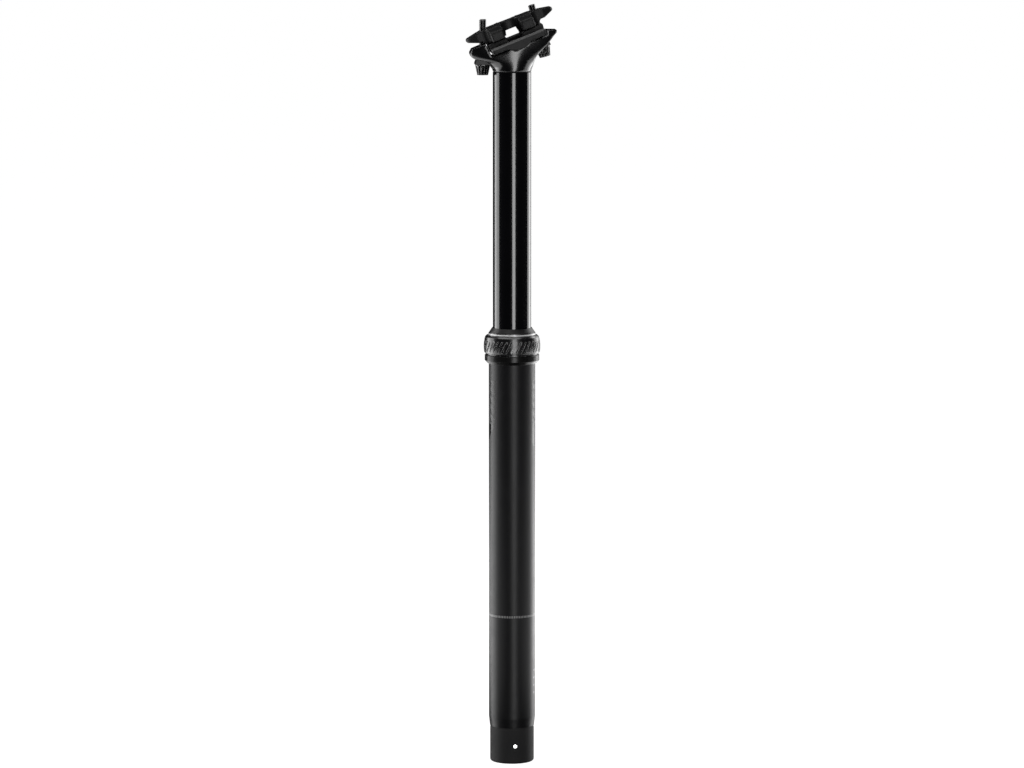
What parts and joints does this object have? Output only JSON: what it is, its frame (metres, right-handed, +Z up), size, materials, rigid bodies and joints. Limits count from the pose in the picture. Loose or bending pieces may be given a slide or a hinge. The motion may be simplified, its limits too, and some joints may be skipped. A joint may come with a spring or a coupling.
{
  "type": "dropper seatpost",
  "caption": "Dropper seatpost: a sliding tube with a gas spring in an outer tube, a cable lever in its lower end and a two-bolt saddle clamp that tilts",
  "frame": {"origin": "on the post's axis, where the outer tube's plain wall meets its flared top ring, which rests on the bicycle's seat tube", "axes": "+Z up the post, +X to the bicycle's rear, where the saddle clamp is high, +Y to the bicycle's left"},
  "size_m": [0.0605, 0.0536, 0.5175],
  "materials": {
    "tube_black": "matte black anodised, fine blasted grain",
    "stanchion_black": "gloss black hard anodised",
    "head_black": "gloss black anodised forging",
    "collar_black": "satin black anodised, turned",
    "clamp_black": "satin black anodised",
    "cap_black": "satin black anodised, turned",
    "bolt_black": "black oxide with bright edges",
    "nut_steel": "turned steel",
    "washer_black": "black oxide",
    "pin_steel": "ground steel",
    "spring_steel": "drawn wire",
    "lever_aluminium": "machined",
    "cartridge_aluminium": "clear anodised",
    "key_brass": "milled brass",
    "bushing_plastic": "bearing plastic",
    "seal_rubber": "soft black rubber"
  },
  "bodies": {
    "lower": {"outer_tube": "tube_black", "upper_bushing": "bushing_plastic", "collar": "collar_black", "wiper_seal": "seal_rubber", "cartridge_rod": "pin_steel", "piston": "cartridge_aluminium", "piston_ring": "seal_rubber", "rod_nut": "nut_steel", "valve_spring": "spring_steel", "bottom_bumper": "seal_rubber", "actuator_housing": "cap_black", "pivot_pin": "pin_steel"},
    "upper": {"stanchion": "stanchion_black", "guide_key_1": "key_brass", "guide_key_2": "key_brass", "guide_key_3": "key_brass", "lower_bushing": "bushing_plastic", "cartridge_tube": "cartridge_aluminium", "cartridge_plug": "cartridge_aluminium", "rod_guide": "cartridge_aluminium", "rod_seal": "seal_rubber", "topout_bumper": "seal_rubber", "cartridge_clip": "spring_steel", "saddle_head": "head_black"},
    "valve_pin": {"release_pin": "pin_steel"},
    "lever": {"actuator_lever": "lever_aluminium"},
    "barrel": {"cable_barrel": "key_brass", "cable_set_screw": "nut_steel"},
    "clamp": {"lower_cradle": "clamp_black", "upper_clamp": "clamp_black"},
    "front_bolt_set": {"front_bolt": "bolt_black", "front_half_washer": "washer_black"},
    "rear_bolt_set": {"rear_bolt": "bolt_black", "rear_half_washer": "washer_black"},
    "front_nut": {"front_barrel_nut": "nut_steel"},
    "rear_nut": {"rear_barrel_nut": "nut_steel"}
  },
  "joints": [
    {"name": "stanchion_slide", "type": "slide", "parent": "lower", "child": "upper", "axis": [0, 0, 1], "range_m": [-0.17, 0], "stiffness_N_per_m": 200, "springref_m": 0.6},
    {"name": "lever_press", "type": "hinge", "parent": "lower", "child": "lever", "pos_m": [0.0012, 0, -0.2621], "axis": [0, 1, 0], "range_deg": [0, 20], "stiffness_Nm_per_rad": 0.001, "springref_deg": -17.19},
    {"name": "valve_pin_slide", "type": "slide", "parent": "lower", "child": "valve_pin", "axis": [0, 0, 1], "range_m": [0, 0.00105], "deforming": ["valve_spring"]},
    {"name": "barrel_turn", "type": "hinge", "parent": "lever", "child": "barrel", "pos_m": [0.009, 0, -0.2609], "axis": [0, 1, 0], "range_deg": [-20.5, 0.5]},
    {"name": "clamp_tilt", "type": "hinge", "parent": "upper", "child": "clamp", "pos_m": [0, 0, 0.2267], "axis": [0, 1, 0], "range_deg": [-4, 4]},
    {"name": "front_bolt_swing", "type": "hinge", "parent": "upper", "child": "front_bolt_set", "pos_m": [-0.0198, 0, 0.2027], "axis": [0, 1, 0], "range_deg": [-1.5, 1.5]},
    {"name": "rear_bolt_swing", "type": "hinge", "parent": "upper", "child": "rear_bolt_set", "pos_m": [0.0205, 0, 0.2147], "axis": [0, 1, 0], "range_deg": [-1.5, 1.5]},
    {"name": "front_nut_turn", "type": "hinge", "parent": "clamp", "child": "front_nut", "pos_m": [-0.01979, 0, 0.22353], "axis": [0, 1, 0], "range_deg": [-5, 5]},
    {"name": "rear_nut_turn", "type": "hinge", "parent": "clamp", "child": "rear_nut", "pos_m": [0.01452, 0, 0.23684], "axis": [0, 1, 0], "range_deg": [-5, 5]}
  ],
  "couplings": [
    {"joint": "lever_press", "follows": "valve_pin_slide", "rad_per_m": 333.33},
    {"joint": "barrel_turn", "follows": "valve_pin_slide", "rad_per_m": -333.33},
    {"joint": "front_bolt_swing", "follows": "clamp_tilt", "ratio": -0.1526},
    {"joint": "rear_bolt_swing", "follows": "clamp_tilt", "ratio": 0.2615},
    {"joint": "front_nut_turn", "follows": "clamp_tilt", "ratio": -1.1526},
    {"joint": "rear_nut_turn", "follows": "clamp_tilt", "ratio": -0.7385}
  ]
}
